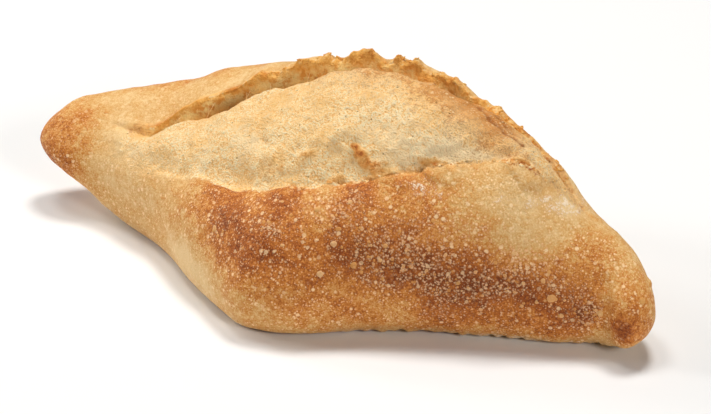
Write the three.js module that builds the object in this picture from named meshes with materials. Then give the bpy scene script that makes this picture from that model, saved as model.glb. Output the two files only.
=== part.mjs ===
// A country bread roll: a diamond-shaped piece of wheat dough with two blunt noses, scored from
// nose to nose along the top and baked on a flat stone. In the oven the score tore open. The far
// crust curled up into a thin ragged ear, the near crust stayed low as a soft lip, and a wide bulge
// of pale crumb rose between the two.
//
// Millimetres. +X runs from the raised nose to the low nose, +Y away from the lip and over the ear,
// +Z up from the surface that the flat underside lies on. The origin is on that surface, under the
// middle of the roll.
//
// The roll is one closed skin: a closed section, a ring of points, is worked out at each of many
// stations along X, the rings are joined into bands, and each nose closes on one point.

import * as THREE from "three";

// Driving dimensions.
const LENGTH = 171; // nose to nose
const NEAR_HALF = 40; // from the line between the noses out to the blunt near corner
const FAR_HALF = 42.5; // and out to the blunt far corner
const HEIGHT = 54; // the flat underside to the top of the ear
const NOSE_LENGTH = 11; // the rounded end of each nose, along X

// The crust as it broke.
const RAISED_NOSE_MIDDLE = 0.48; // the end point of each nose, as a share of the nose's height
const LOW_NOSE_MIDDLE = 0.46;
const EAR_THICKNESS = 1.9; // the torn edge of the ear
const WALL_BULGE = 0.11; // how round the near wall is, as a share of its height
const EAR_RAGGED = 1.3; // how far its torn points stand up and down
const LIP_RAGGED = 0.7; // the same for the near lip
const CRUST_LUMPS = 0.6; // slow swellings of the baked skin
const NOISE_SEED = 7;

const HALF = LENGTH / 2;
const TOP_SQUARENESS = 2.15; // the loaf's section above its widest place: 2 is round
const NEAR_ANGLE = 180; // the widest place of the near wall, as an angle over the section
const SHOULDER_ANGLE = 58; // where the far crust behind the ear turns down to the far wall
const TEAR_SPREAD = 13; // half of the angle that the torn top takes up where the tear runs out
const LIP_WIDTH = 1.5; // from the edge of the lip across to the foot of the crumb
const STATIONS = 84; // rings between the two rounded noses
const NOSE_RINGS = 6; // rings in each rounded nose

// ---------------------------------------------------------------------------------------------
// Curves along the roll
// ---------------------------------------------------------------------------------------------

// A smooth curve through a few sizes: each key is a place, as a share of the half length from -1 at
// the raised nose to 1 at the low nose, and a share of the unit. Returns size at x in millimetres.
function along(unit, keys) {
  const slope = keys.map((key, i) => {
    const before = keys[Math.max(i - 1, 0)];
    const after = keys[Math.min(i + 1, keys.length - 1)];
    return (after[1] - before[1]) / (after[0] - before[0]);
  });
  return (x) => {
    const place = THREE.MathUtils.clamp(x / HALF, keys[0][0], keys.at(-1)[0]);
    let i = 0;
    while (i < keys.length - 2 && place > keys[i + 1][0]) i += 1;
    const [from, a] = keys[i];
    const [to, b] = keys[i + 1];
    const span = to - from;
    const t = (place - from) / span;
    const rise = t * t * (3 - 2 * t);
    const leave = t * (1 - t) * (1 - t) * span * slope[i];
    const arrive = t * t * (t - 1) * span * slope[i + 1];
    return unit * (a + (b - a) * rise + leave + arrive);
  };
}

// The plain loaf, before the tear: its two sides at their widest, the height of that widest place, the
// top and the underside, and how far the top leans away from the middle, towards the far side.
const nearSide = along(-NEAR_HALF, [
  [-1, 0.065], [-0.9, 0.09], [-0.78, 0.09], [-0.67, 0.12], [-0.53, 0.23], [-0.43, 0.355],
  [-0.31, 0.555], [-0.19, 0.73], [-0.12, 0.82], [-0.04, 0.91], [0.04, 0.9], [0.12, 0.845], [0.25, 0.67],
  [0.38, 0.515], [0.5, 0.4], [0.62, 0.285], [0.74, 0.205], [0.84, 0.12], [0.9, 0.125], [0.95, 0.18], [1, 0.2],
]);
const farSide = along(FAR_HALF, [
  [-1, 0.24], [-0.9, 0.36], [-0.7, 0.54], [-0.47, 0.74], [-0.25, 0.9], [0.06, 1],
  [0.2, 0.95], [0.35, 0.83], [0.52, 0.65], [0.7, 0.48], [0.84, 0.34], [1, 0.24],
]);
const topHeight = along(HEIGHT, [
  [-1, 0.44], [-0.94, 0.49], [-0.85, 0.52], [-0.75, 0.555], [-0.6, 0.65], [-0.47, 0.75], [-0.3, 0.845],
  [0, 0.94], [0.25, 0.95], [0.45, 0.83], [0.6, 0.685], [0.72, 0.58], [0.85, 0.48], [0.94, 0.42], [1, 0.4],
]);
const bellyHeight = along(HEIGHT, [
  [-1, 0.31], [-0.85, 0.27], [-0.7, 0.19], [-0.55, 0.16], [-0.3, 0.17], [0.05, 0.2], [0.6, 0.21],
  [0.85, 0.2], [1, 0.17],
]);
const underside = along(HEIGHT, [
  [-1, 0.2], [-0.9, 0.17], [-0.8, 0.075], [-0.7, -0.005], [-0.62, -0.03], [0, -0.03], [0.66, -0.03],
  [0.78, -0.015], [0.86, 0.005], [1, 0.01],
]);
const lean = along(FAR_HALF, [
  [-1, 0.03], [-0.85, 0.16], [-0.65, 0.22], [-0.3, 0.12], [0.4, 0.05], [0.8, 0.03], [1, 0],
]);
// How square the foot of the wall is: 2 is round, as on a nose, and more is flat with a tight edge.
const footSquareness = along(1, [
  [-1, 2], [-0.86, 2.2], [-0.6, 3.6], [0, 4.2], [0.7, 3.6], [0.9, 2.4], [1, 2],
]);
// The foot of the near wall curls up off the stone, most between the blunt corner and the low nose.
const footLift = along(1, [
  [-1, 0], [0.05, 0], [0.2, 1], [0.36, 2.6], [0.5, 2.6], [0.66, 2.8], [0.82, 3], [0.92, 1], [1, 0],
]);

// Where the tear lies on the plain loaf, as an angle over the section: 90 is the top, 180 the near side.
const tearAngle = along(1, [[-1, 142], [-0.68, 142], [-0.5, 132], [0, 104], [0.6, 95], [1, 92]]);
const tornOpen = along(1, [
  [-0.82, 0], [-0.76, 0.08], [-0.64, 0.8], [-0.57, 1], [0.66, 1], [0.71, 0.85], [0.79, 0.08], [0.84, 0],
]);

// The torn edges: across and up.
const lipAcross = along(NEAR_HALF, [
  [-0.76, -0.04], [-0.68, -0.07], [-0.605, -0.125], [-0.542, -0.175], [-0.447, -0.238], [-0.38, -0.288],
  [-0.315, -0.338], [-0.23, -0.4], [-0.156, -0.438], [-0.076, -0.462], [0.046, -0.462], [0.127, -0.412],
  [0.204, -0.35], [0.305, -0.262], [0.374, -0.19], [0.472, -0.1], [0.55, -0.045], [0.6, -0.03],
  [0.64, 0.01], [0.68, 0.045], [0.74, 0.1], [0.84, 0.16],
]);
const lipHeight = along(HEIGHT, [
  [-0.76, 0.36], [-0.68, 0.37], [-0.605, 0.37], [-0.542, 0.363], [-0.447, 0.394], [-0.38, 0.426],
  [-0.315, 0.47], [-0.23, 0.503], [-0.156, 0.515], [-0.076, 0.543], [0.046, 0.6], [0.127, 0.628],
  [0.204, 0.654], [0.305, 0.691], [0.374, 0.728], [0.472, 0.758], [0.55, 0.773], [0.6, 0.765],
  [0.64, 0.733], [0.68, 0.685], [0.74, 0.6], [0.84, 0.51],
]);
const earAcross = along(FAR_HALF, [
  [-0.8, 0.04], [-0.68, 0.07], [-0.6, 0.12], [-0.53, 0.21], [-0.42, 0.26], [-0.28, 0.33], [-0.1, 0.38],
  [0.1, 0.4], [0.26, 0.39], [0.41, 0.33], [0.55, 0.26], [0.67, 0.21], [0.84, 0.18],
]);
const earHeight = along(HEIGHT, [
  [-0.76, 0.47], [-0.68, 0.472], [-0.6, 0.49], [-0.53, 0.6], [-0.42, 0.69], [-0.36, 0.735], [-0.28, 0.81],
  [-0.1, 0.92], [0.02, 0.965], [0.13, 0.985], [0.2, 0.98], [0.3, 0.96], [0.4, 0.92], [0.5, 0.86],
  [0.6, 0.785], [0.66, 0.735], [0.73, 0.63], [0.84, 0.49],
]);
// The torn edge stands up in three lobes beside the middle, with a notch after each of the first two.
const earLobes = along(1, [
  [-0.18, 0], [-0.1, 1], [-0.062, -0.9], [-0.04, 0.2], [0.03, 0.4], [0.06, -0.9], [0.09, -0.5],
  [0.125, 0.5], [0.2, 0],
]);
// The crest of the crumb lies beside the torn edge of the ear and this far under it, with a split
// between them. Towards the low nose it stands a little above the edge.
const crestBeside = along(1, [
  [-0.8, 2.4], [-0.66, 3], [-0.5, 5.4], [-0.3, 6.2], [0.1, 6], [0.3, 5], [0.45, 3.4], [0.65, 2.6], [0.84, 2],
]);
const crestUnder = along(1, [
  [-0.8, 0.2], [-0.64, 1.6], [-0.515, 3.4], [-0.45, 4.9], [-0.35, 4.3], [-0.2, 4.3], [-0.115, 3.3],
  [-0.07, 2.4], [-0.03, 1.1], [0.03, 0.5], [0.15, 0.3], [0.3, 0.4], [0.38, -0.4], [0.48, -1],
  [0.6, -1.1], [0.7, -0.5], [0.84, 0.1],
]);
const splitDepth = along(1, [
  [-0.76, 0.1], [-0.64, 0.5], [-0.56, 1.4], [-0.515, 2.4], [-0.45, 3], [-0.35, 4.6], [-0.2, 4.2],
  [-0.07, 4.8], [0.03, 5.6], [0.15, 5.4], [0.3, 4.6], [0.38, 3.2], [0.48, 2], [0.6, 1.6], [0.7, 1], [0.84, 0.1],
]);
// The foot of the crumb lies this far above the edge of the lip: at the raised nose there is no step.
const footAbove = along(1, [
  [-0.84, 2], [-0.6, 1.9], [-0.45, 1.3], [-0.3, 0.5], [-0.1, 0.2], [0.4, 0.2], [0.55, 0.8], [0.84, 1],
]);
const crumbSwell = along(1, [
  [-0.76, 0.3], [-0.6, 1.1], [-0.45, 2.8], [-0.2, 4.2], [0.1, 5], [0.4, 4.2], [0.65, 1.6], [0.84, 0.2],
]);
// The crust behind the ear swells this far above a straight line down to the shoulder.
const backSwell = along(1, [
  [-0.76, 2.6], [-0.6, 3.4], [-0.5, 2.6], [-0.3, 1], [0, 0.5], [0.5, 0.6], [0.7, 1.2], [0.84, 1.5],
]);

// ---------------------------------------------------------------------------------------------
// Unevenness
// ---------------------------------------------------------------------------------------------

// A fixed random value from -1 to 1 for each corner of a grid.
function cornerValue(i, j, k) {
  const mixed = Math.sin(i * 127.1 + j * 311.7 + k * 74.7 + NOISE_SEED * 53.3) * 43758.5453;
  return 2 * (mixed - Math.floor(mixed)) - 1;
}

// Smooth noise from about -1 to 1, with one swelling to about each `size` millimetres.
function unevenness(point, size) {
  const cell = point.clone().divideScalar(size);
  const low = cell.clone().floor();
  const part = cell.sub(low);
  const ease = (t) => t * t * (3 - 2 * t);
  const mix = THREE.MathUtils.lerp;
  const edge = (j, k) =>
    mix(
      cornerValue(low.x, low.y + j, low.z + k),
      cornerValue(low.x + 1, low.y + j, low.z + k),
      ease(part.x),
    );
  const face = (k) => mix(edge(0, k), edge(1, k), ease(part.y));
  return mix(face(0), face(1), ease(part.z));
}

// The same along a torn edge: teeth of two sizes.
function ragged(x, row, amount) {
  const coarse = unevenness(new THREE.Vector3(x, row * 10, 0), 7);
  const fine = unevenness(new THREE.Vector3(x, row * 10, 50), 2.6);
  return amount * (0.6 * coarse + 0.6 * fine);
}

// ---------------------------------------------------------------------------------------------
// One section
// ---------------------------------------------------------------------------------------------

// A point of the plain loaf's section, at an angle from 0 on the far side, over 90 at the top and
// 180 on the near side, to 270 at the middle of the underside.
function loafPoint(x, degrees) {
  const angle = THREE.MathUtils.degToRad(degrees);
  const near = nearSide(x);
  const far = farSide(x);
  const belly = bellyHeight(x);
  const lower = Math.sin(angle) < 0;
  const power = 2 / (lower ? footSquareness(x) : TOP_SQUARENESS);
  const across = Math.sign(Math.cos(angle)) * Math.abs(Math.cos(angle)) ** power;
  const up = Math.sign(Math.sin(angle)) * Math.abs(Math.sin(angle)) ** power;
  const reach = lower ? belly - underside(x) : topHeight(x) - belly;
  const leaning = lower ? 0 : lean(x) * up * up;
  return new THREE.Vector2((near + far + across * (far - near)) / 2 + leaning, belly + up * reach);
}

// The torn edge of the ear, where it stands highest, and of the near lip.
function earEdge(x) {
  return new THREE.Vector2(earAcross(x), earHeight(x) + earLobes(x) + ragged(x, 2, EAR_RAGGED));
}

function lipEdge(x) {
  return new THREE.Vector2(lipAcross(x), lipHeight(x) + ragged(x, 1, LIP_RAGGED));
}

// The named points of the torn top, from the near wall over the crumb and the ear to the far wall.
// `angle` is a point's place on the plain loaf, which it takes where the tear runs out. `steps` is the
// number of steps that the skin takes from it to the next point.
function tornTop(x) {
  const lip = lipEdge(x);
  const ear = earEdge(x);
  const belly = loafPoint(x, NEAR_ANGLE);
  const shoulder = loafPoint(x, SHOULDER_ANGLE);
  const foot = new THREE.Vector2(lip.x + LIP_WIDTH, lip.y + footAbove(x));
  const crest = new THREE.Vector2(ear.x - crestBeside(x), earHeight(x) - crestUnder(x));
  const split = new THREE.Vector2(ear.x - crestBeside(x) / 2, crest.y - splitDepth(x));
  const wallChord = lip.clone().sub(belly);
  const wallOut = new THREE.Vector2(-wallChord.y, wallChord.x).multiplyScalar(WALL_BULGE);
  const wall = (share) => belly.clone().addScaledVector(wallChord, share).add(wallOut);
  const crumbOut = new THREE.Vector2(foot.y - crest.y, crest.x - foot.x).setLength(crumbSwell(x));
  const crumb = (share) =>
    foot.clone().lerp(crest, share).addScaledVector(crumbOut, Math.sin(Math.PI * share));
  const backOut = new THREE.Vector2(ear.y - shoulder.y, shoulder.x - ear.x).setLength(backSwell(x));
  const back = ear.clone().lerp(shoulder, 0.45).add(backOut);
  const innerEdge = new THREE.Vector2(ear.x - EAR_THICKNESS / 2, ear.y);
  const outerEdge = new THREE.Vector2(ear.x + EAR_THICKNESS / 2, ear.y);
  const innerWall = new THREE.Vector2(ear.x - EAR_THICKNESS * 0.8, ear.y - EAR_THICKNESS);
  const lipAngle = tearAngle(x) + TEAR_SPREAD;
  const earAngle = tearAngle(x) - TEAR_SPREAD;
  const between = THREE.MathUtils.lerp;
  return [
    { angle: between(NEAR_ANGLE, lipAngle, 0.33), steps: 3, at: wall(0.33) },
    { angle: between(NEAR_ANGLE, lipAngle, 0.7), steps: 3, at: wall(0.7) },
    { angle: lipAngle, steps: 2, at: lip },
    { angle: between(lipAngle, earAngle, 0.12), steps: 2, at: foot },
    { angle: between(lipAngle, earAngle, 0.24), steps: 4, at: crumb(0.22) },
    { angle: between(lipAngle, earAngle, 0.36), steps: 4, at: crumb(0.5) },
    { angle: between(lipAngle, earAngle, 0.48), steps: 4, at: crumb(0.8) },
    { angle: between(lipAngle, earAngle, 0.6), steps: 2, at: crest },
    { angle: between(lipAngle, earAngle, 0.7), steps: 2, at: split },
    { angle: between(lipAngle, earAngle, 0.8), steps: 2, at: innerWall },
    { angle: between(lipAngle, earAngle, 0.9), steps: 2, at: innerEdge },
    { angle: earAngle, steps: 2, at: outerEdge },
    { angle: between(earAngle, SHOULDER_ANGLE, 0.45), steps: 3, at: back },
    { angle: SHOULDER_ANGLE, steps: 4, at: shoulder },
  ];
}

// The named points all round a section. The first is the middle of the underside.
function sectionPoints(x) {
  const open = THREE.MathUtils.clamp(tornOpen(x), 0, 1);
  const lift = new THREE.Vector2(0, footLift(x));
  const top = tornTop(x).map(({ angle, steps, at }) => ({ steps, at: loafPoint(x, angle).lerp(at, open) }));
  return [
    { steps: 2, at: loafPoint(x, 270) },
    { steps: 2, at: loafPoint(x, 235).addScaledVector(lift, 0.3) },
    { steps: 3, at: loafPoint(x, 210).add(lift) },
    { steps: 3, at: loafPoint(x, NEAR_ANGLE) },
    ...top,
    { steps: 3, at: loafPoint(x, 24) },
    { steps: 3, at: loafPoint(x, 0) },
    { steps: 3, at: loafPoint(x, 330) },
    { steps: 2, at: loafPoint(x, 305) },
  ];
}

// Swellings of crust and crumb push a point of the skin out from the middle of its section, but not
// on the flat underside.
function swollen(point, middle) {
  const out = point.clone().sub(middle).normalize();
  const clear = THREE.MathUtils.smoothstep(point.z, 1, 7);
  const slow = unevenness(point, 15) * CRUST_LUMPS;
  const quick = unevenness(point, 5.5) * CRUST_LUMPS * 0.5;
  return point.clone().addScaledVector(out, (slow + quick) * clear);
}

// A ring: the smooth closed curve through the section's points, uneven in the way of crust and crumb.
function ring(x) {
  const named = sectionPoints(x);
  const curve = new THREE.CatmullRomCurve3(
    named.map(({ at }) => new THREE.Vector3(x, at.x, at.y)),
    true,
    "centripetal",
  );
  const middle = new THREE.Vector3(x, (nearSide(x) + farSide(x)) / 2, bellyHeight(x));
  const points = [];
  named.forEach(({ steps }, i) => {
    for (let step = 0; step < steps; step += 1) {
      const point = swollen(curve.getPoint((i + step / steps) / named.length), middle);
      points.push(point.setZ(Math.max(point.z, 0)));
    }
  });
  return points;
}

// Rounds a nose off: the ring shrinks towards a place in the middle of its width. The low nose droops.
function roundedOff(points, x) {
  const past = Math.max(0, Math.abs(x) - (HALF - NOSE_LENGTH)) / NOSE_LENGTH;
  const share = Math.sqrt(Math.max(0, 1 - past * past));
  const middle = noseMiddle(points, x);
  return points.map((point) => point.clone().sub(middle).multiplyScalar(share).add(middle));
}

function noseMiddle(points, x) {
  const box = new THREE.Box3().setFromPoints(points);
  const middle = box.getCenter(new THREE.Vector3());
  const share = x < 0 ? RAISED_NOSE_MIDDLE : LOW_NOSE_MIDDLE;
  return middle.setZ(THREE.MathUtils.lerp(box.min.z, box.max.z, share));
}

// ---------------------------------------------------------------------------------------------
// The skin
// ---------------------------------------------------------------------------------------------

function stationPlaces() {
  const straight = HALF - NOSE_LENGTH;
  const places = [];
  for (let i = 1; i <= NOSE_RINGS; i += 1) {
    const angle = (i / (NOSE_RINGS + 1)) * (Math.PI / 2);
    places.push(-straight - NOSE_LENGTH * Math.cos(angle));
  }
  for (let i = 0; i < STATIONS; i += 1) {
    places.push(-straight + (2 * straight * i) / (STATIONS - 1));
  }
  for (let i = NOSE_RINGS; i >= 1; i -= 1) {
    const angle = (i / (NOSE_RINGS + 1)) * (Math.PI / 2);
    places.push(straight + NOSE_LENGTH * Math.cos(angle));
  }
  return places;
}

function rollSkin() {
  const rings = stationPlaces().map((x) => roundedOff(ring(x), x));
  const count = rings[0].length;
  const tips = [noseMiddle(rings[0], -HALF).setX(-HALF), noseMiddle(rings.at(-1), HALF).setX(HALF)];
  const vertices = rings.flat().concat(tips);
  const faces = [];
  for (let i = 0; i < rings.length - 1; i += 1) {
    for (let j = 0; j < count; j += 1) {
      const next = (j + 1) % count;
      const [a, b] = [i * count + j, i * count + next];
      const [c, d] = [a + count, b + count];
      faces.push(a, c, b, b, c, d);
    }
  }
  const last = (rings.length - 1) * count;
  for (let j = 0; j < count; j += 1) {
    const next = (j + 1) % count;
    faces.push(vertices.length - 2, j, next);
    faces.push(vertices.length - 1, last + next, last + j);
  }
  const skin = new THREE.BufferGeometry().setFromPoints(vertices);
  skin.setIndex(faces);
  return skin;
}

// Sets the skin on z = 0 with the middle of its plan at the origin.
function settled(skin) {
  skin.computeBoundingBox();
  const middle = skin.boundingBox.getCenter(new THREE.Vector3());
  skin.translate(-middle.x, -middle.y, -skin.boundingBox.min.z);
  skin.computeVertexNormals();
  return skin;
}

function bakedCrust() {
  return new THREE.MeshStandardMaterial({ color: 0xc88a4a, roughness: 0.72, metalness: 0 });
}

const roll = new THREE.Mesh(settled(rollSkin()), bakedCrust());
roll.name = "bread_roll";

const countryRoll = new THREE.Group();
countryRoll.add(roll);

export default countryRoll;
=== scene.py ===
import math
import random

import bmesh
import bpy
import numpy as np
from mathutils import Matrix, Vector, noise
from mathutils.kdtree import KDTree


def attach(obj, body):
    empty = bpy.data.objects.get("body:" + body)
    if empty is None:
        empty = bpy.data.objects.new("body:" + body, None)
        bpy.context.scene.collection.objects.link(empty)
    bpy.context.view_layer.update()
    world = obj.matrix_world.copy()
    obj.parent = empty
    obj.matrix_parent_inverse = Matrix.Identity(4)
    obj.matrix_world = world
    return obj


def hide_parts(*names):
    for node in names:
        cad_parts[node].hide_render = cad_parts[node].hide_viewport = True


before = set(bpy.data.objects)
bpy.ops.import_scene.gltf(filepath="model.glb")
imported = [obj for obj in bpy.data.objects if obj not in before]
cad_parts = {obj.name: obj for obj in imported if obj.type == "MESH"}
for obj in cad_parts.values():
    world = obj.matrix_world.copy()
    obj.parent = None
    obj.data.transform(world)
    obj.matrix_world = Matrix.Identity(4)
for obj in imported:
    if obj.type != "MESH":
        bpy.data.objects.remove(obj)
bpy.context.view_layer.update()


# ---------------------------------------------------------------------------------------------
# The roll
# One piece of wheat dough with two blunt noses, baked on a flat stone. Its score tore open in the
# oven: the far crust curled up into a thin ragged ear, the near crust stayed low as a soft lip,
# and a bulge of pale crumb rose between the two.
# ---------------------------------------------------------------------------------------------
MM = 0.001
HALF_LENGTH = 85.5
NEAR_HALF = 40.0
FAR_HALF = 42.5
HEIGHT = 54.0
PLAN_MIDDLE = 3.012  # the middle of the plan lies this far beyond the line between the noses


def along(unit, keys):
    """A smooth curve through a few sizes, each at a share of the half length."""
    at = np.array([key[0] for key in keys])
    value = np.array([key[1] for key in keys])
    before = np.maximum(np.arange(len(keys)) - 1, 0)
    after = np.minimum(np.arange(len(keys)) + 1, len(keys) - 1)
    slope = (value[after] - value[before]) / (at[after] - at[before])

    def size(x):
        place = np.clip(np.asarray(x) / HALF_LENGTH, at[0], at[-1])
        i = np.clip(np.searchsorted(at, place, side="right") - 1, 0, len(at) - 2)
        span = at[i + 1] - at[i]
        t = (place - at[i]) / span
        rise = t * t * (3 - 2 * t)
        bend = t * (1 - t) * (1 - t) * slope[i] - t * t * (1 - t) * slope[i + 1]
        return unit * (value[i] + (value[i + 1] - value[i]) * rise + bend * span)

    return size


# The torn edge of the near lip and of the ear, across and up, as they run along the roll.
lip_across = along(NEAR_HALF, [
    (-0.76, -0.04), (-0.68, -0.07), (-0.605, -0.125), (-0.542, -0.175), (-0.447, -0.238), (-0.38, -0.288),
    (-0.315, -0.338), (-0.23, -0.4), (-0.156, -0.438), (-0.076, -0.462), (0.046, -0.462), (0.127, -0.412),
    (0.204, -0.35), (0.305, -0.262), (0.374, -0.19), (0.472, -0.1), (0.55, -0.045), (0.6, -0.03),
    (0.64, 0.01), (0.68, 0.045), (0.74, 0.1), (0.84, 0.16),
])
lip_height = along(HEIGHT, [
    (-0.76, 0.36), (-0.68, 0.37), (-0.605, 0.37), (-0.542, 0.363), (-0.447, 0.394), (-0.38, 0.426),
    (-0.315, 0.47), (-0.23, 0.503), (-0.156, 0.515), (-0.076, 0.543), (0.046, 0.6), (0.127, 0.628),
    (0.204, 0.654), (0.305, 0.691), (0.374, 0.728), (0.472, 0.758), (0.55, 0.773), (0.6, 0.765),
    (0.64, 0.733), (0.68, 0.685), (0.74, 0.6), (0.84, 0.51),
])
ear_across = along(FAR_HALF, [
    (-0.8, 0.04), (-0.68, 0.07), (-0.6, 0.12), (-0.53, 0.21), (-0.42, 0.26), (-0.28, 0.33), (-0.1, 0.38),
    (0.1, 0.4), (0.26, 0.39), (0.41, 0.33), (0.55, 0.26), (0.67, 0.21), (0.84, 0.18),
])
ear_height = along(HEIGHT, [
    (-0.76, 0.47), (-0.68, 0.472), (-0.6, 0.49), (-0.53, 0.6), (-0.42, 0.69), (-0.36, 0.735), (-0.28, 0.81),
    (-0.1, 0.92), (0.02, 0.965), (0.13, 0.985), (0.2, 0.98), (0.3, 0.96), (0.4, 0.92), (0.5, 0.86),
    (0.6, 0.785), (0.66, 0.735), (0.73, 0.63), (0.84, 0.49),
])
torn_open = along(1, [
    (-0.76, 0), (-0.7, 0.5), (-0.64, 1), (0.66, 1), (0.7, 0.8), (0.76, 0),
])

# Where the oven browned the crust: x, y, z, how far it reaches along x and up, and how brown; below
# nought it stayed paler. The two spots at x 52 and 59 are painted light instead: they pale the upper
# right of the near wall where more light falls on it. The other spots are written in the same way.
BROWNED = [
    (-78, -4, 16, 9, 12, 0.5), (-84, -4, 9, 6, 6, 0.3), (-35, -17, 14, 14, 12, 0.06), (-18, -24, 24, 12, 10, 0.45),
    (-8, -29, 24, 12, 10, 0.15), (3, -25, 31, 7, 4, 0.4), (0, -32, 20, 12, 9, 0.5), (17, -20, 34, 5, 5, 0.45),
    (18, -27, 25, 10, 7, 0.4), (14, -32, 18, 12, 6, 0.28), (20, -31, 8, 16, 6, 0.3), (27, -25, 20, 9, 7, 0.3),
    (31, -17, 33, 12, 6, 0.2), (30, -14, 36, 7, 4, 0.2), (36, -21, 21, 10, 8, 0.55), (44, -18, 15, 9, 7, 0.62),
    (40, -21, 7, 12, 5, 0.3), (47, -15, 29, 9, 6, 0.2), (55, -14, 18, 7, 6, 0.7), (62, -10, 16, 8, 6, 0.3),
    (60, -12, 7, 12, 5, 0.4), (70, -8, 12, 8, 6, 0.45), (68, -5, 23, 7, 6, 0.25), (81.4, -8.2, 10, 4.6, 4.8, 0.5),
    (78, -5, 20, 8, 6, 0.14), (72, -7.5, 11.5, 4, 5, 0.3), (75.8, -7.4, 13, 2.6, 5, -0.25),
    (-24, -24, 8, 9, 7, -0.25), (52, -8, 34, 8, 6, -0.1), (59, -8, 28, 7, 6, -0.1), (-62, 5, 26, 18, 10, -0.04),
]
# Where flour from the board stuck to it.
FLOURED = [
    (61, 0, 33.5, 2.6, 1.5, 0.75), (57, -4, 35, 2.6, 1.2, 0.6), (64, 3, 31.6, 2.2, 1.0, 0.6),
    (50, -10, 36, 2, 1, 0.45), (31, -14, 36.5, 3, 1.8, 0.45), (36, -13.5, 35.5, 2, 1.2, 0.35),
    (45, -17, 1.0, 9, 1.1, 0.45),
    (58, -11, 1.2, 11, 1.2, 0.7), (20, -30, 1.0, 14, 1.2, 0.4), (72, -9, 1.0, 6, 1.1, 0.35),
]
# Where tiny whitish blisters stand close together on the browned crust; below nought it is bare.
BLISTERED = [
    (35, -21, 24, 7, 7, 1.0), (41, -20, 15, 5, 5, 0.9), (53, -15, 18, 6, 6, 1.0), (71.5, -8, 11.5, 4.5, 5, 0.8),
    (57, -11, 25, 4, 4, 0.6), (17, -20, 32.5, 4, 3.5, 0.8), (10, -25, 30.5, 7, 2.5, 0.6), (2, -31, 26, 5, 2, 0.8),
    (-8, -25, 28, 4, 2.5, 0.5), (31, -14, 36.5, 4, 2.5, 0.7), (27, -26, 21, 7, 6, 0.6), (20, -28, 27, 6, 3, 0.5),
    (81.5, -8, 10, 4, 4, -0.6), (47, -15, 29, 5, 4, 0.6), (62, -9, 22, 4, 4, 0.5), (40, -19, 9, 9, 3, 0.4),
    (66, -9, 18, 4, 5, 0.4), (-16, -27, 22, 4, 5, 0.4),
]
# Scabs of crust that stayed on the torn crumb and stand up a little. Each corner of a run is a place,
# the half width there and how brown it is.
SCABS = [
    [(13.7, -12.2, 41.8, 0.8, 1.0), (15.7, -13.0, 40.2, 1.2, 0.9), (17.4, -13.3, 38.9, 1.4, 0.7),
     (20.9, -13.3, 37.4, 2.2, 0.6), (26.4, -13.9, 37.0, 2.0, 0.45)],
    [(29.4, -8.8, 40.6, 1.0, 0.6), (33.0, -9.6, 39.6, 2.1, 0.85), (37.0, -10.4, 39.0, 1.7, 0.6)],
    [(47.8, -4.0, 42.7, 0.8, 0.55), (51.6, -3.2, 41.8, 1.5, 0.9), (53.8, -3.5, 40.2, 1.9, 0.95),
     (56.0, -2.6, 38.8, 0.8, 0.6)],
    [(10.3, -18.1, 34.4, 0.8, 0.6), (12.6, -16.9, 35.2, 0.8, 0.6)],
    [(-7.5, -17.5, 34.0, 2.8, 0.42), (-4.0, -16.6, 35.0, 2.8, 0.42)],
    [(2.6, -16.5, 38.0, 1.1, 0.5), (4.6, -15.4, 39.2, 1.2, 0.5)],
]
# Soft folds in the crumb: their run, half width and depth; below nought it is a swell.
FOLDS = [
    ([(-22.5, -14.6, 34.2), (-17.2, -14.4, 35.6), (-12.6, -12.6, 38.0), (-8.6, -14.2, 37.5)], 1.2, 0.8),
    ([(12.0, -12.6, 42.0), (13.6, -11.6, 42.2), (18.0, -10.2, 42.9)], 0.8, 0.5),
    ([(22.0, -8.4, 43.0), (27.4, -7.6, 42.7), (31.0, -5.6, 43.6)], 0.9, 0.8),
    ([(-6.0, -20.0, 33.0), (-1.6, -19.8, 33.6), (2.6, -18.4, 34.8)], 0.9, 0.7),
    ([(7.4, -13.2, 41.8), (11.0, -10.6, 44.4)], 2.8, -0.8),
]
# Thin cracks where the crumb's crest tore away from the ear; they are sunk a little and painted dark as
# the shade inside them.
CRACKS = [
    [(35.8, 6.6, 50.0), (41.0, 2.9, 48.9), (45.2, 1.7, 47.6), (50.6, 0.8, 45.4)],
    [(41.5, 5.0, 48.4), (46.5, 3.2, 46.6), (51.5, 2.2, 44.2)],
    [(21.5, 8.4, 51.6), (26.5, 8.2, 51.0), (31.0, 8.0, 50.2)],
]
# Where the heat browned the torn crumb in patches.
TOASTED = [
    (8, 4, 51.5, 4, 2.0, 0.5), (25, 3.5, 51.8, 4, 2.0, 0.5), (36, 3, 50, 5, 2.5, 0.45),
    (43.5, 2.4, 48.2, 4, 2.5, 0.7), (31, 0, 49.5, 5, 2.5, 0.25), (-2, 5, 50, 4, 2, 0.3), (44, -2, 45.5, 5, 3, 0.15),
]
# Chunks that the tear left standing on the ear's edge: x, half their length, and how far they rise.
CHUNKS = [
    (-14.5, 1.6, 0.3), (-7.2, 3.0, 0.5), (2.4, 3.7, 0.8), (5.6, 1.0, 0.25), (10.8, 1.1, 0.4),
    (15.6, 0.9, 0.4), (23.5, 1.5, 0.5), (28.4, 2.4, 0.35), (34.6, 2.2, 1.0), (39.4, 2.2, 0.65), (45, 3.0, 0.8),
    (50, 1.4, 0.5), (56, 2.5, 0.4),
]
# Places where the gap under the ear runs deep into the loaf; there the colour is painted dark as the
# shade in the gap.
SHADED_HOLLOWS = [
    (-31, 5, 33, 4.5, 5, 0.75), (-19, 8, 42, 3.5, 4, 0.5), (27, 10, 48.5, 4, 2.5, 0.5),
]
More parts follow.
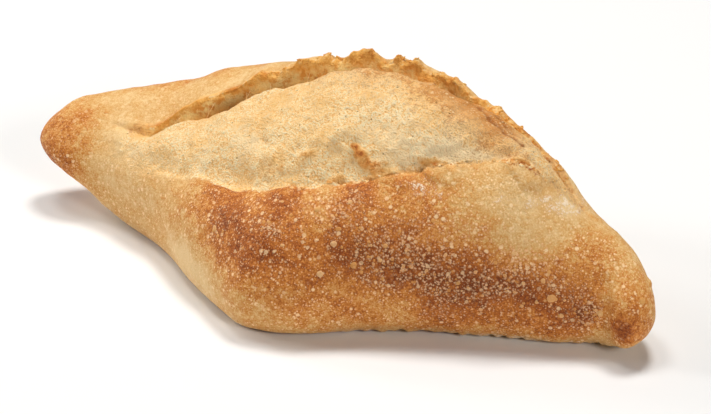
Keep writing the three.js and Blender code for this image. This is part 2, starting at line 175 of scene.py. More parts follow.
# Places where the crumb is paler: partly crumb that stayed pale and moist, partly painted light where
# the crumb catches more light than the lamps give it.
MOIST_AND_PAINTED_LIGHT = [
    (37, -6.5, 41.5, 7, 2.4, 0.9), (46, -5, 42, 5, 2, 0.7), (25, -10.5, 39.5, 5, 2, 0.5), (-24, -16, 28, 6, 3, 0.4),
    (-50, -6, 23, 8, 4, 0.5), (12, -14.5, 37.5, 5, 1.6, 0.4), (9, -10, 42, 5, 4, 0.3), (22, -9, 43.5, 6, 3, 0.6),
    (34, -6.5, 44, 7, 3, 0.7), (-15, -12, 36, 7, 4, 0.6), (18, -4, 48, 9, 4, 0.4),
]
# The low nose: a crease runs round it above its swollen end, and a nub stands on its shoulder. Each
# place is x, y, z, how far it reaches and how far it rises.
LOW_NOSE = [
    (74.5, -6.5, 19, 2.4, -0.9), (75.5, -7.5, 14, 2.4, -1.0), (76.2, -8.2, 8.5, 2.4, -1.1),
    (76.6, -8, 4, 2.2, -1.2),
    (80, -8, 18, 3.0, 0.6), (82, -5, 13, 4.5, 0.7), (81, -7, 5, 3.2, 0.7), (83.4, 2.2, 18.2, 1.2, 1.7),
    (79, 2, 24, 5, 0.8), (73, 3, 29, 5, 0.5),
]
BASE_TOP = 0.6        # below this height the skin is the base, browned on the stone
EAR_THICK = 2.4       # how far the ear's inner wall lies from its torn edge
RAGGED_REACH = 1.7    # how far from that edge the raggedness is felt
CHUNK_RISE = 3.0      # the rise of a chunk of 1
SCAB_RISE = 0.7
CRACK_HALF = 0.5
CRACK_DEEP = 0.45
HEM_UP = 1.2          # the ragged near edge of the base, and how far up it is felt
HEM_REACH = 1.3


def roll_skin():
    """A copy of the solid's skin, made of quads again and rounded."""
    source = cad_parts["bread_roll"].data
    skin = bmesh.new()
    skin.from_mesh(source)
    bmesh.ops.remove_doubles(skin, verts=skin.verts, dist=0.002 * MM)
    bmesh.ops.join_triangles(
        skin, faces=skin.faces, angle_face_threshold=math.radians(60), angle_shape_threshold=math.radians(120)
    )
    mesh = bpy.data.meshes.new("roll_coarse")
    skin.to_mesh(mesh)
    skin.free()
    coarse = bpy.data.objects.new("roll_coarse", mesh)
    bpy.context.scene.collection.objects.link(coarse)
    rounding = coarse.modifiers.new("rounding", "SUBSURF")
    rounding.levels = 2
    rounding.render_levels = 2
    seen = coarse.evaluated_get(bpy.context.evaluated_depsgraph_get())
    rounded = bpy.data.meshes.new_from_object(seen)
    bpy.data.objects.remove(coarse)
    rounded.name = "roll"
    return rounded


def spread(points, spots):
    """How strongly each point is reached by soft spots on the skin."""
    total = np.zeros(len(points))
    for x, y, z, wide, high, amount in spots:
        far = ((points[:, 0] - x) / wide) ** 2 + ((points[:, 2] - z) / high) ** 2
        far += ((points[:, 1] - y) / (0.5 * (wide + high) + 4)) ** 2
        total += amount * np.exp(-far)
    return total


def waviness(points, size, seed):
    """Smooth noise from about -1 to 1 at each point, one swelling to about each size."""
    shift = Vector((seed * 17.3, seed * 5.9, seed * 11.1))
    return np.array([noise.noise(Vector(p) / size + shift) for p in points])


def eased(value, low, high):
    """0 below low, 1 above high, and a soft step between."""
    t = np.clip((value - low) / (high - low), 0, 1)
    return t * t * (3 - 2 * t)


def near_run(points, run):
    """Distance from each point to a run of straight pieces."""
    best = np.full(len(points), 1e3)
    for a, b in zip(run[:-1], run[1:]):
        a, b = np.array(a), np.array(b)
        share = np.clip((points - a) @ (b - a) / ((b - a) @ (b - a)), 0, 1)
        best = np.minimum(best, np.linalg.norm(points - a - share[:, None] * (b - a), axis=1))
    return best


def give_layers(mesh, layers):
    """Number layers on the points, which the materials read."""
    for name, values in layers.items():
        layer = mesh.attributes.new(name, "FLOAT", "POINT")
        layer.data.foreach_set("value", np.asarray(values, dtype=np.float32))


roll_mesh = roll_skin()
count = len(roll_mesh.vertices)
places = np.empty(count * 3)
roll_mesh.vertices.foreach_get("co", places)
places = places.reshape(count, 3) / MM
outward = np.empty(count * 3)
roll_mesh.vertices.foreach_get("normal", outward)
outward = outward.reshape(count, 3)
x, y, z = places.T.copy()

lip_y = lip_across(x) - PLAN_MIDDLE
lip_z = lip_height(x)
ear_y = ear_across(x) - PLAN_MIDDLE
ear_z = ear_height(x)
opened = np.clip(torn_open(x), 0, 1)
upper = (z > 0.55 * lip_z)
# Signed distances over the skin: past the lip towards the crumb, and past the ear's edge towards
# the far crust.
from_lip = np.hypot(y - lip_y, z - lip_z) * np.where((y > lip_y) & upper, 1.0, -1.0)
from_ear = np.hypot(y - ear_y, z - ear_z) * np.where((y > ear_y) | ~upper, 1.0, -1.0)
crumb = np.clip(from_lip / 1.5, 0, 1) * np.clip(-from_ear / 1.5, 0, 1) * opened
near_wall = np.clip(-from_lip / 3, 0, 1) * (y < lip_y + 1)
ear_wall = eased(y, ear_y - EAR_THICK - 1, ear_y - EAR_THICK) * eased(-from_ear, -0.6, 0.2) * opened * upper
ear_wall *= (1 - 0.75 * eased(x, 42, 54)) * (1 - 0.8 * eased(-x, 50, 56))
# How far inside the torn part each point lies; the tear fades out softly at its left end.
torn = np.minimum((from_lip - 0.3 - 1.1 * eased(x, -5, 25)) / (1 + 2.5 * eased(-x, 40, 56)), -from_ear - 0.4)
torn = np.minimum(torn, np.minimum((x + 59) / 3.5, (64 - x) / 2))
browned = spread(places, BROWNED)
browned += 0.3 * eased(y - ear_y, 6, 22) * (1 + 0.4 * waviness(places, 14, 3))
browned += 0.12 + 0.08 * waviness(places, 9, 1)
browned = np.where(z < BASE_TOP, 0.5 + 0.25 * waviness(places, 12, 2), browned * np.clip(z / 2.5, 0.7, 1))
floured = spread(places, FLOURED)
blistered = spread(places, BLISTERED) * near_wall
# The crest of the crumb caught the heat, most of all towards the low nose.
crest = eased(x, -25, 15) * np.exp(-(np.maximum(-from_ear - 4, 0) / 7) ** 2) * (1 - ear_wall)
crest += 0.5 * eased(x, 15, 30) * np.exp(-(np.maximum(-from_ear - 4, 0) / 12) ** 2) * (1 - ear_wall)
crest *= 1 - 0.85 * eased(x, 44, 54)
crest += spread(places, TOASTED)
scab = np.zeros(count)
for run in SCABS:
    for a, b in zip(run[:-1], run[1:]):
        start, reach = np.array(a[:3]), np.array(b[:3]) - np.array(a[:3])
        share = np.clip((places - start) @ reach / (reach @ reach), 0, 1)
        width = a[3] + (b[3] - a[3]) * share
        away = np.linalg.norm(places - start - share[:, None] * reach, axis=1)
        away += 0.6 * width * waviness(places, 1.8, 15)
        scab = np.maximum(scab, (a[4] + (b[4] - a[4]) * share) * np.clip(1.7 - away / width, 0, 1))
# Painted shade where the gap under the ear runs deep.
hollow_shade = spread(places, SHADED_HOLLOWS) * eased(-from_ear, 1.5, 4) * eased(y, ear_y - 5.5, ear_y - 3.5)
# Pale moist crumb, and painted light on the crumb.
moist_and_painted_light = spread(places, MOIST_AND_PAINTED_LIGHT)

# The skin's own relief.
crack = np.zeros(count)
for run in CRACKS:
    away = near_run(places, run) + 0.5 * waviness(places, 1.6, 18)
    crack = np.maximum(crack, np.exp(-(away / CRACK_HALF) ** 2))
lumps = 0.26 * waviness(places, 7, 4) + 0.13 * waviness(places, 3, 5)
swells = 0.85 * waviness(places * np.array([0.7, 1, 1]), 8, 8) + 0.6 * waviness(places, 3.6, 6)
swells += 0.28 * waviness(places, 1.7, 7)
# The dough was drawn out across the middle of the tear and left fibrous ridges there.
drawn = np.stack([0.95 * x - 0.3 * y, 0.1 * x + 0.3 * y, 0.3 * z], axis=1)
swells += 0.5 * waviness(drawn, 1.9, 19) * eased(x, -4, 6) * eased(-x, -40, -28)
for run, half, deep in FOLDS:
    swells -= deep * np.exp(-((near_run(places, run) + 0.5 * waviness(places, 2.5, 16)) / half) ** 2)
clear = np.clip((z - 0.4) / 3, 0, 1)
push = lumps * (1 - crumb) + swells * crumb + SCAB_RISE * eased(scab, 0.1, 0.6) - CRACK_DEEP * crack
push *= clear
places += outward * push[:, None]
# The torn edge of the ear: chunks, teeth and ragged bits, smoother towards the high nose.
ragged = np.exp(-(from_ear / RAGGED_REACH) ** 2) * opened
ragged *= (0.15 + 0.85 * eased(x, -34, -16)) * (1 - 0.5 * eased(x, 10, 50))
rise = 0.9 * waviness(places * np.array([1, 0.3, 0.3]), 3.0, 9) + 0.5 * waviness(places, 1.3, 10) - 0.9
rise += 1.0 * waviness(places * np.array([1, 0.3, 0.3]), 1.7, 17) * eased(-x, -25, -10)
for middle, half, high in CHUNKS:
    rise += CHUNK_RISE * high * np.exp(-((x - middle) / half) ** 4)
places[:, 2] += rise * ragged
places[:, 1] += 0.9 * waviness(places, 2.2, 11) * ragged
for cx, cy, cz, reach, high in LOW_NOSE:
    near = np.exp(-((x - cx) ** 2 + (y - cy) ** 2 + (z - cz) ** 2) / reach ** 2)
    places += outward * (high * near)[:, None]
# The near edge of the base is a little ragged.
hem = np.exp(-((z - HEM_UP) / HEM_REACH) ** 2) * near_wall * eased(x, 5, 30)
places += outward * (0.8 * waviness(places * np.array([1, 1, 0.2]), 1.9, 14) * hem)[:, None]
places[:, 2] = np.maximum(places[:, 2], 0)
roll_mesh.vertices.foreach_set("co", (places * MM).ravel())
give_layers(roll_mesh, {
    "torn": torn, "from_ear": from_ear, "opened": opened, "browning": browned, "floured": floured,
    "blistered": blistered, "crest": crest, "scab": scab, "ear_wall": ear_wall, "hollow_shade": hollow_shade, "moist_and_painted_light": moist_and_painted_light,
    "near_wall": near_wall, "crack": crack,
})
roll_mesh.update()
for polygon in roll_mesh.polygons:
    polygon.use_smooth = True


def tinted(r, g, b):
    """A colour as the eye reads it, turned to the light it gives off."""
    return tuple(((c / 255 + 0.055) / 1.055) ** 2.4 if c > 10 else c / 255 / 12.92 for c in (r, g, b)) + (1,)


class Finish:
    """A material under construction: each call adds a node and returns its output."""

    def __init__(self, name):
        self.material = bpy.data.materials.new(name)
        self.material.use_nodes = True
        self.tree = self.material.node_tree
        self.tree.nodes.clear()
        self.shader = self.tree.nodes.new("ShaderNodeBsdfPrincipled")
        out = self.tree.nodes.new("ShaderNodeOutputMaterial")
        self.tree.links.new(self.shader.outputs[0], out.inputs[0])
        place = self.tree.nodes.new("ShaderNodeTexCoord")
        grow = self.tree.nodes.new("ShaderNodeMapping")
        grow.inputs["Scale"].default_value = (1 / MM, 1 / MM, 1 / MM)
        self.tree.links.new(place.outputs["Object"], grow.inputs["Vector"])
        self.mm = grow.outputs[0]

    def put(self, socket, value):
        if hasattr(value, "is_output"):
            self.tree.links.new(value, socket)
        else:
            socket.default_value = value

    def layer(self, name):
        made = self.tree.nodes.new("ShaderNodeAttribute")
        made.attribute_name = name
        return made.outputs["Fac"]

    def mottle(self, size, detail, rough):
        made = self.tree.nodes.new("ShaderNodeTexNoise")
        self.put(made.inputs["Vector"], self.mm)
        made.inputs["Scale"].default_value = 1 / size
        made.inputs["Detail"].default_value = detail
        made.inputs["Roughness"].default_value = rough
        return made.outputs["Fac"]

    def cells(self, size, feature="F1"):
        made = self.tree.nodes.new("ShaderNodeTexVoronoi")
        made.feature = feature
        self.put(made.inputs["Vector"], self.mm)
        made.inputs["Scale"].default_value = 1 / size
        return made

    def sum(self, kind, a, b=0.0, c=0.0, clamp=False):
        made = self.tree.nodes.new("ShaderNodeMath")
        made.operation = kind
        made.use_clamp = clamp
        for socket, value in zip(made.inputs, (a, b, c)):
            self.put(socket, value)
        return made.outputs[0]

    def shift(self, a, amount, b):
        """a plus amount times b, where b wavers about a half."""
        return self.sum("ADD", a, self.sum("MULTIPLY", self.sum("SUBTRACT", b, 0.5), amount))

    def ease(self, value, low, high, out_low=0.0, out_high=1.0):
        made = self.tree.nodes.new("ShaderNodeMapRange")
        made.interpolation_type = "SMOOTHSTEP"
        self.put(made.inputs[0], value)
        for socket, number in zip(made.inputs[1:5], (low, high, out_low, out_high)):
            socket.default_value = number
        return made.outputs[0]

    def ramp(self, value, stops):
        made = self.tree.nodes.new("ShaderNodeValToRGB")
        self.put(made.inputs[0], value)
        stripes = made.color_ramp.elements
        while len(stripes) < len(stops):
            stripes.new(1)
        for stripe, (at, color) in zip(stripes, stops):
            stripe.position = at
            stripe.color = color
        return made.outputs[0]

    def blend(self, share, a, b, kind="MIX"):
        made = self.tree.nodes.new("ShaderNodeMix")
        made.data_type = "RGBA"
        made.blend_type = kind
        self.put(made.inputs[0], share)
        self.put(made.inputs[6], a)
        self.put(made.inputs[7], b)
        return made.outputs[2]

    def bump(self, height, deep):
        made = self.tree.nodes.new("ShaderNodeBump")
        made.inputs["Strength"].default_value = 1.0
        made.inputs["Distance"].default_value = deep * MM
        self.put(made.inputs["Height"], height)
        return made.outputs[0]


def baked_crust_and_crumb():
    f = Finish("baked_crust_and_crumb")
    fine = f.mottle(0.42, 2, 0.6)
    small = f.mottle(1.2, 3, 0.6)
    middling = f.mottle(3.6, 3, 0.55)
    wide = f.mottle(10.0, 2, 0.5)
    browned = f.layer("browning")
    # The browned skin, mottled most where it is brownest.
    uneven = f.shift(f.shift(f.shift(f.shift(0.0, 0.5, wide), 0.7, middling), 0.85, small), 1.15, fine)
    heat = f.sum("MULTIPLY_ADD", uneven, f.ease(browned, 0.0, 0.5, 0.4, 1.0), browned)
    crust = f.ramp(heat, [
        (0.0, tinted(240, 204, 147)), (0.2, tinted(224, 171, 102)), (0.4, tinted(213, 138, 65)),
        (0.6, tinted(188, 108, 47)), (0.8, tinted(158, 83, 36)), (1.0, tinted(122, 60, 29)),
    ])
    # Pin-sized pale specks, thickest where the crust is brown.
    specks = 0.0
    for size, share, strength in ((0.55, 0.3, 0.65), (0.8, 0.45, 0.9), (1.5, 0.62, 1.0)):
        pins = f.cells(size)
        lot = f.tree.nodes.new("ShaderNodeSeparateColor")
        f.put(lot.inputs[0], pins.outputs["Color"])
        pin = f.ease(f.sum("MULTIPLY_ADD", lot.outputs[1], 0.2, pins.outputs["Distance"]), 0.44, 0.28)
        pin = f.sum("MULTIPLY", pin, f.sum("GREATER_THAN", lot.outputs[0], share))
        specks = f.sum("MAXIMUM", specks, f.sum("MULTIPLY", pin, strength))
    specks = f.sum("MULTIPLY", specks, f.ease(heat, 0.35, 0.9, 0.95, 0.6))
    specks = f.sum("MULTIPLY", specks, f.ease(middling, 0.34, 0.56, 0.5, 1.0))
    specks = f.sum("MULTIPLY", specks, f.ease(f.layer("near_wall"), 0.0, 1.0, 0.5, 1.0))
    specks = f.sum("MULTIPLY", specks, f.ease(f.layer("blistered"), -0.6, 0.0, 0.2, 1.0))
    crust = f.blend(specks, crust, tinted(255, 220, 170))
    # Close clusters of whitish blisters.
    froth = f.cells(0.7, "SMOOTH_F1")
    froth.inputs["Smoothness"].default_value = 0.5
    domes = f.sum("MULTIPLY_ADD", f.sum("SUBTRACT", fine, 0.5), -1.2, froth.outputs["Distance"])
    domes = f.ease(domes, 0.5, 0.16)
    frothy = f.ease(f.shift(f.shift(f.layer("blistered"), 1.8, small), 1.4, middling), 0.25, 0.85)
    frothy = f.sum("MULTIPLY", frothy, domes)
    crust = f.blend(f.sum("MULTIPLY", frothy, 0.75), crust, tinted(250, 204, 156))
    grainy = f.ease(f.shift(fine, 0.5, small), 0.3, 0.65, 0.5, 0.9)
    bubbly = f.sum("MULTIPLY", f.ease(f.layer("bubble"), 0.05, 0.3), grainy)
    crust = f.blend(bubbly, crust, f.ramp(f.layer("bubble"), [
        (0.3, tinted(206, 140, 72)), (0.65, tinted(224, 166, 96)), (1.0, tinted(244, 202, 148)),
    ]))
    # Flour from the board.
    dusty = f.shift(f.shift(f.layer("floured"), 2.4, small), 1.8, fine)
    dusted = f.sum("MULTIPLY", f.ease(dusty, 0.35, 0.95), f.ease(f.layer("floured"), 0.02, 0.25))
    crust = f.blend(f.sum("MULTIPLY", dusted, 0.9), crust, tinted(255, 234, 206))
    # The torn crumb: stippled like cork, with pin holes painted dark as the shade inside them, browner along
    # its crest.
    stipple = f.shift(f.shift(f.shift(0.5, 2.2, fine), 1.2, small), 0.8, middling)
    crumb = f.ramp(stipple, [
        (0.1, tinted(240, 182, 108)), (0.35, tinted(255, 210, 147)), (0.6, tinted(255, 225, 169)),
        (0.9, tinted(255, 238, 202)),
    ])
    golden = f.ease(f.shift(f.shift(wide, 1.0, middling), 0.7, small), 0.47, 0.68)
    crumb = f.blend(f.sum("MULTIPLY", golden, 0.55), crumb, tinted(244, 186, 106))
    # Pale moist crumb, and painted light where the crumb catches more light than the lamps give it.
    damp_and_painted_light = f.ease(f.shift(f.shift(f.layer("moist_and_painted_light"), 1.0, small), 0.8, middling), 0.2, 0.8)
    crumb = f.blend(f.sum("MULTIPLY", damp_and_painted_light, 0.6), crumb, tinted(255, 233, 190))
    toasted = f.shift(f.shift(f.shift(f.layer("crest"), 2.0, middling), 3.4, small), 4.6, fine)
    toasted = f.sum("MULTIPLY", f.ease(toasted, 0.25, 1.4), f.ease(f.layer("crest"), 0.02, 0.3))
    crumb = f.blend(f.sum("MULTIPLY", toasted, 0.9), crumb, (0.72, 0.47, 0.29, 1), "MULTIPLY")
    crisp = f.sum("MULTIPLY", f.sum("MULTIPLY", specks, toasted), 1.4, clamp=True)
    crumb = f.blend(crisp, crumb, tinted(255, 228, 178))
    # Pin holes: painted shade inside them, and a dip in the relief.
    holes = f.cells(1.9)
    lot = f.tree.nodes.new("ShaderNodeSeparateColor")
    f.put(lot.inputs[0], holes.outputs["Color"])
    hole = f.ease(holes.outputs["Distance"], 0.15, 0.07)
    hole = f.sum("MULTIPLY", hole, f.sum("GREATER_THAN", lot.outputs[0], 0.6))
    crumb = f.blend(f.sum("MULTIPLY", hole, 0.6), crumb, tinted(150, 104, 56))
    # The ear's inner wall is fried golden.
    fried = f.ease(f.shift(f.shift(f.layer("from_ear"), 6.0, middling), 5.0, small), -7.0, -1.0)
    wall = f.ramp(fried, [
        (0.0, tinted(250, 202, 122)), (0.5, tinted(252, 219, 148)), (1.0, tinted(244, 180, 92)),
    ])
    wall = f.blend(f.ease(f.shift(middling, 1.0, small), 0.5, 0.72, 0.0, 0.75), wall, tinted(228, 154, 72))
    crumb = f.blend(f.layer("ear_wall"), crumb, wall)
    scabby = f.ease(f.shift(f.shift(f.layer("scab"), 1.3, small), 0.9, fine), 0.3, 0.62)
    crumb = f.blend(scabby, crumb, f.ramp(f.shift(f.shift(f.layer("scab"), 1.2, middling), 1.0, small), [
        (0.35, tinted(242, 192, 120)), (0.8, tinted(222, 148, 74)), (1.0, tinted(180, 100, 50)),
    ]))
    # Painted shade inside the cracks.
    crumb = f.blend(f.sum("MULTIPLY", f.layer("crack"), 0.75), crumb, tinted(160, 92, 46))
    inside = f.shift(f.shift(f.shift(f.layer("torn"), 5.0, middling), 4.0, small), 2.0, fine)
    inside = f.ease(inside, -0.45, 0.55)
    color = f.blend(inside, crust, crumb)
    # The ear's edge caught more heat than the rest, and the gap under it is painted dark as shade.
    rim = f.sum("ABSOLUTE", f.shift(f.shift(f.layer("from_ear"), 3.0, small), 2.0, fine))
    rim = f.sum("MULTIPLY", f.ease(rim, 1.5, 0.2), f.layer("opened"))
    color = f.blend(f.sum("MULTIPLY", rim, 0.7), color, f.ramp(f.shift(middling, 0.8, small), [
        (0.38, tinted(248, 192, 110)), (0.64, tinted(214, 130, 56)),
    ]))
    # Painted shade in the deep places of the gap under the ear.
    color = f.blend(f.sum("MULTIPLY", f.layer("hollow_shade"), 0.9, clamp=True), color, tinted(140, 84, 42))
    f.put(f.shader.inputs["Base Color"], color)
    rough = f.blend(inside, (0.52, 0.52, 0.52, 1), (0.9, 0.9, 0.9, 1))
    f.put(f.shader.inputs["Roughness"], f.shift(rough, 0.5, small))
    f.shader.inputs["Specular IOR Level"].default_value = 0.12
    relief = f.sum("MULTIPLY_ADD", fine, 0.8, f.sum("MULTIPLY", small, 1.2))
    relief = f.sum("ADD", relief, f.sum("MULTIPLY_ADD", specks, 0.05, f.sum("MULTIPLY", frothy, 0.08)))
    spongy = f.sum("MULTIPLY_ADD", fine, 2.0, f.sum("MULTIPLY", small, 2.2))
    spongy = f.sum("SUBTRACT", spongy, f.sum("ADD", hole, 1.1))
    relief = f.sum("MULTIPLY_ADD", f.sum("SUBTRACT", spongy, relief), inside, relief)
    f.put(f.shader.inputs["Normal"], f.bump(relief, 0.3))
    return f.material


bread = baked_crust_and_crumb()


def part_of_roll(name, mesh):
    """Adds a piece of the bread to the scene, in its one material."""
    mesh.materials.clear()
    mesh.materials.append(bread)
    made = bpy.data.objects.new(name, mesh)
    bpy.context.scene.collection.objects.link(made)
    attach(made, "root")
    return made


roll = part_of_roll("roll", roll_mesh)
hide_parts("bread_roll")


# ---------------------------------------------------------------------------------------------
# The blisters
# Bubbles of steam that lifted the browned skin and stayed paler than it. Each is a flat dome
# sunk into the crust; the plainest stand where they show, the small ones fall by chance.
# ---------------------------------------------------------------------------------------------
# The plainest single blisters: x, y, z and radius.
BLISTERS = [
    (-15.4, -28.3, 20.0, 0.85), (-13.3, -29.8, 19.3, 0.6), (-21.6, -27.0, 16.4, 0.6), (11.4, -25.5, 30.4, 0.8),
    (17.2, -28.3, 24.4, 0.75), (18.7, -27.5, 24.2, 0.4), (15.7, -32.3, 18.3, 0.9), (22.1, -27.7, 20.2, 0.8),
    (24.0, -27.3, 18.4, 0.5), (0.8, -29.9, 27.1, 0.5), (17.6, -21.1, 32.6, 0.6), (1.9, -25.3, 30.6, 0.45),
    (11.0, -36.1, 14.5, 0.5), (28.0, -23.2, 24.6, 0.6), (57.2, -10.2, 27.4, 0.6), (55.2, -12.5, 24.6, 0.65),
    (61.7, -11.0, 18.4, 0.7), (64.3, -10.7, 14.8, 1.05), (62.9, -11.5, 13.7, 0.4), (66.2, -10.1, 10.1, 0.7),
    (68.4, -5.8, 22.6, 0.45), (76.7, -3.2, 21.3, 0.5), (74.6, -7.4, 11.6, 0.85), (83.6, -4.2, 15.9, 0.9),
    (57.8, -12.8, 17.9, 0.5), (49.0, -16.1, 10.1, 0.5), (43.8, -18.3, 16.8, 0.5),
]
SMALL_BLISTERS = 330
draw = random.Random(11)
normals = np.empty(count * 3)
roll_mesh.vertices.foreach_get("normal", normals)
normals = normals.reshape(count, 3)
skin_points = KDTree(count)
for i, place in enumerate(places):
    skin_points.insert(place, i)
skin_points.balance()


def lump(shape, at, facing, sizes, turn, rough=0.0):
    """A small ball of a few dozen faces, squeezed to its sizes and set facing outward."""
    out = Vector(facing).normalized()
    frame_of = out.to_track_quat("Z", "Y").to_matrix().to_4x4() @ Matrix.Rotation(turn, 4, "Z")
    placed = Matrix.Translation(Vector(at) * MM) @ frame_of @ Matrix.Diagonal((*[c * MM for c in sizes], 1))
    made = bmesh.ops.create_icosphere(shape, subdivisions=2, radius=1.0, matrix=placed)["verts"]
    if rough:
        middle = Vector(at) * MM
        for corner in made:
            swell = 1 + rough * noise.noise(corner.co / (0.5 * MM))
            corner.co = middle + (corner.co - middle) * swell
    return len(made)


chance = np.maximum(0.1 + blistered, 0) * eased(browned, 0.15, 0.5) * near_wall * (z > 3) * (z < lip_z - 1.5)
spots = [(skin_points.find((bx, by, bz))[1], radius) for bx, by, bz, radius in BLISTERS]
spots += [(i, 0.2 + 0.3 * draw.random() ** 2.2) for i in draw.choices(range(count), list(chance), k=SMALL_BLISTERS)]
bubbles = bmesh.new()
paleness = []
tone = []
for i, radius in spots:
    wide = radius * draw.uniform(0.85, 1.15)
    tall = radius * (0.42 if radius > 0.45 else 0.55)
    at = places[i] - normals[i] * 0.35 * tall
    corners = lump(bubbles, at, normals[i], (wide, radius, tall), draw.uniform(0, math.pi), 0.14)
    paleness += [draw.uniform(0.35, 1.0)] * corners
    tone += [0.8 * browned[i]] * corners
blister_mesh = bpy.data.meshes.new("blisters")
bubbles.to_mesh(blister_mesh)
bubbles.free()
give_layers(blister_mesh, {
    "bubble": paleness, "browning": tone, "torn": [-6.0] * len(tone), "from_ear": [-20.0] * len(tone),
})
for polygon in blister_mesh.polygons:
    polygon.use_smooth = True
part_of_roll("blisters", blister_mesh)


# ---------------------------------------------------------------------------------------------
# The shreds
# Ragged bits of crust that the tear left along the edge of the ear and, fewer and smaller,
# along the lip. They are part of the same dough and grow out of it.
# ---------------------------------------------------------------------------------------------
SHREDS_ON_EAR = 100
SHREDS_ON_LIP = 70
edge = np.flatnonzero((np.abs(from_ear) < 0.9) & (opened > 0.6) & (x > -24) & (places[:, 2] > 20))
lip_edge = np.flatnonzero((np.abs(torn) < 0.5) & (from_ear < -3) & (x > 2) & (x < 58))
shreds = bmesh.new()
edge_side = []
tears = []
walls = []
for i in draw.choices(list(edge), [1.0 - 0.55 * (x[i] > 16) for i in edge], k=SHREDS_ON_EAR):
    size = draw.uniform(0.35, 0.8)
    facing = normals[i] + np.array([draw.uniform(-0.5, 0.5), draw.uniform(-0.4, 0.2), 0.6])
    corners = lump(
        shreds, places[i] - np.array([0, 0, 0.25]), facing,
        (size, 0.4 * size, 0.75 * size), draw.gauss(0, 0.5), 0.7,
    )
    edge_side += [draw.uniform(-2.2, 0.6)] * corners
    tears += [1.5] * corners
    walls += [1.0] * corners
for i in draw.choices(list(lip_edge), k=SHREDS_ON_LIP):
    size = draw.uniform(0.3, 0.7)
    corners = lump(shreds, places[i], normals[i], (size, 0.7 * size, 0.3 * size), draw.uniform(0, 3), 0.9)
    edge_side += [-20.0] * corners
    tears += [draw.choice((-2.0, 2.0))] * corners
    walls += [0.0] * corners
shred_mesh = bpy.data.meshes.new("shreds")
shreds.to_mesh(shred_mesh)
shreds.free()
give_layers(shred_mesh, {
    "from_ear": edge_side, "torn": tears, "ear_wall": walls, "opened": [1.0] * len(tears),
    "browning": [0.25] * len(tears),
})
for polygon in shred_mesh.polygons:
    polygon.use_smooth = True
part_of_roll("shreds", shred_mesh)


# ---------------------------------------------------------------------------------------------
# The strands
# Threads of gluten that still bridge the gap between the ear and the crumb near the high nose.
# Each grows out of both sides.
# ---------------------------------------------------------------------------------------------
# Where each leaves the ear along x, the radius of its foot, and how far the foot leans along x.
STRANDS = [
    (-45.6, 0.13, -0.6), (-38.2, 0.09, 1.6), (-36.6, 0.13, -0.9), (-28.6, 0.15, 2.2), (-27.2, 0.11, -1.0),
    (-22.6, 0.1, 1.5), (-12.2, 0.14, 0.8),
]
strands = bmesh.new()
for sx, thick, lean in STRANDS:
    top = Vector((sx, float(ear_across(sx)) - PLAN_MIDDLE - 1.2, float(ear_height(sx)) - 3.0))
    foot = Vector(places[skin_points.find((sx + lean, top.y - 3.6, top.z - 3.2))[1]])
    top = Vector(places[skin_points.find(top)[1]])
    run = foot - top
    ends = bmesh.ops.create_cone(
        strands, cap_ends=True, segments=7, radius1=0.5 * thick * MM, radius2=thick * MM,
        depth=(run.length + 0.6) * MM,
        matrix=Matrix.Translation((top + foot) / 2 * MM) @ run.to_track_quat("Z", "Y").to_matrix().to_4x4(),
    )["verts"]
    strands.edges.ensure_lookup_table()
    sides = [e for e in strands.edges if e.verts[0] in ends and e.calc_length() > 0.5 * run.length * MM]
    bmesh.ops.subdivide_edges(strands, edges=sides, cuts=5)
    for corner in [v for v in strands.verts if v not in ends and v.index == -1]:
        share = (corner.co / MM - top).dot(run) / run.length_squared
        sway = noise.noise_vector(Vector((1.7 * share, sx, 0))) * 0.9 * math.sin(math.pi * share)
        corner.co += sway * MM
    strands.verts.index_update()
strand_mesh = bpy.data.meshes.new("strands")
strands.to_mesh(strand_mesh)
strands.free()
corners = len(strand_mesh.vertices)
give_layers(strand_mesh, {"torn": [2.0] * corners, "from_ear": [-20.0] * corners})
for polygon in strand_mesh.polygons:
    polygon.use_smooth = True
part_of_roll("strands", strand_mesh)


# ---------------------------------------------------------------------------------------------
# The floor and the light
# A pale floor without an edge, and five small soft lights: two overhead, two from the left and one
# from in front on the right.
# ---------------------------------------------------------------------------------------------
bpy.ops.mesh.primitive_plane_add(size=6.0, location=(0, 0, 0))
floor = bpy.context.active_object
floor.name = "floor"
pale = bpy.data.materials.new("pale_floor")
pale.use_nodes = True
pale.node_tree.nodes["Principled BSDF"].inputs["Base Color"].default_value = (0.88, 0.88, 0.88, 1)
pale.node_tree.nodes["Principled BSDF"].inputs["Roughness"].default_value = 0.9
floor.data.materials.append(pale)

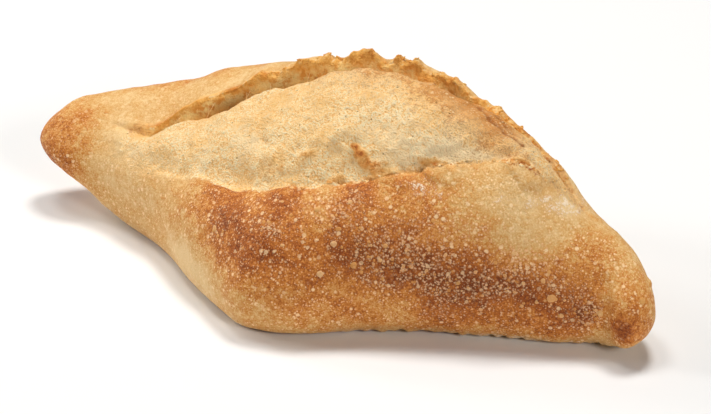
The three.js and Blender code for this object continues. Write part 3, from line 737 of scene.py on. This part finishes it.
LAMP_SIZE = 0.32
LAMP_COLOR = (1, 0.985, 0.96)
LIT_POINT = Vector((0, 0, 0.02))
# Each light's place in metres and its power.
LAMPS = [
    ("overhead_back", (0.0, 0.31, 1.16), 8.3), ("overhead_left", (-0.31, 0.0, 1.16), 3.5),
    ("left_light", (-1.035, 0.09, 0.6), 2.9), ("low_left_light", (-1.02, -0.37, 0.51), 4.0),
    ("front_right_light", (0.918, -0.53, 0.563), 5.1),
]
world = bpy.data.worlds.new("studio")
bpy.context.scene.world = world
world.use_nodes = True
world.node_tree.nodes["Background"].inputs["Color"].default_value = (*LAMP_COLOR, 1)
world.node_tree.nodes["Background"].inputs["Strength"].default_value = 0.015

for name, place, power in LAMPS:
    lamp = bpy.data.lights.new(name, "AREA")
    lamp.shape = "DISK"
    lamp.size = LAMP_SIZE
    lamp.energy = power
    lamp.color = LAMP_COLOR
    holder = bpy.data.objects.new(name, lamp)
    holder.location = place
    holder.rotation_euler = (LIT_POINT - Vector(place)).to_track_quat("-Z", "Y").to_euler()
    bpy.context.scene.collection.objects.link(holder)

bpy.context.scene.view_settings.view_transform = "Standard"


# ---------------------------------------------------------------------------------------------
# The camera
# It looks down on the lip and the crumb from in front, and stands nearer to the low nose. Its
# angles were fitted to the outline of the roll in the photo.
# ---------------------------------------------------------------------------------------------
AROUND = math.radians(29.294)
ABOVE = math.radians(27.0)
AWAY = 0.6
LOOKED_AT = Vector((7.89, -1.717, 20.0)) * MM
SENSOR = 36
FOCAL = 126.9
camera_data = bpy.data.cameras.new("camera")
camera_data.sensor_width = SENSOR
camera_data.lens = FOCAL
camera_data.clip_start = 0.05
camera_data.clip_end = 20
camera = bpy.data.objects.new("camera", camera_data)
bpy.context.scene.collection.objects.link(camera)
back = Vector((math.sin(AROUND) * math.cos(ABOVE), -math.cos(AROUND) * math.cos(ABOVE), math.sin(ABOVE)))
camera.location = LOOKED_AT + back * AWAY
camera.rotation_euler = back.to_track_quat("Z", "Y").to_euler()
bpy.context.scene.camera = camera
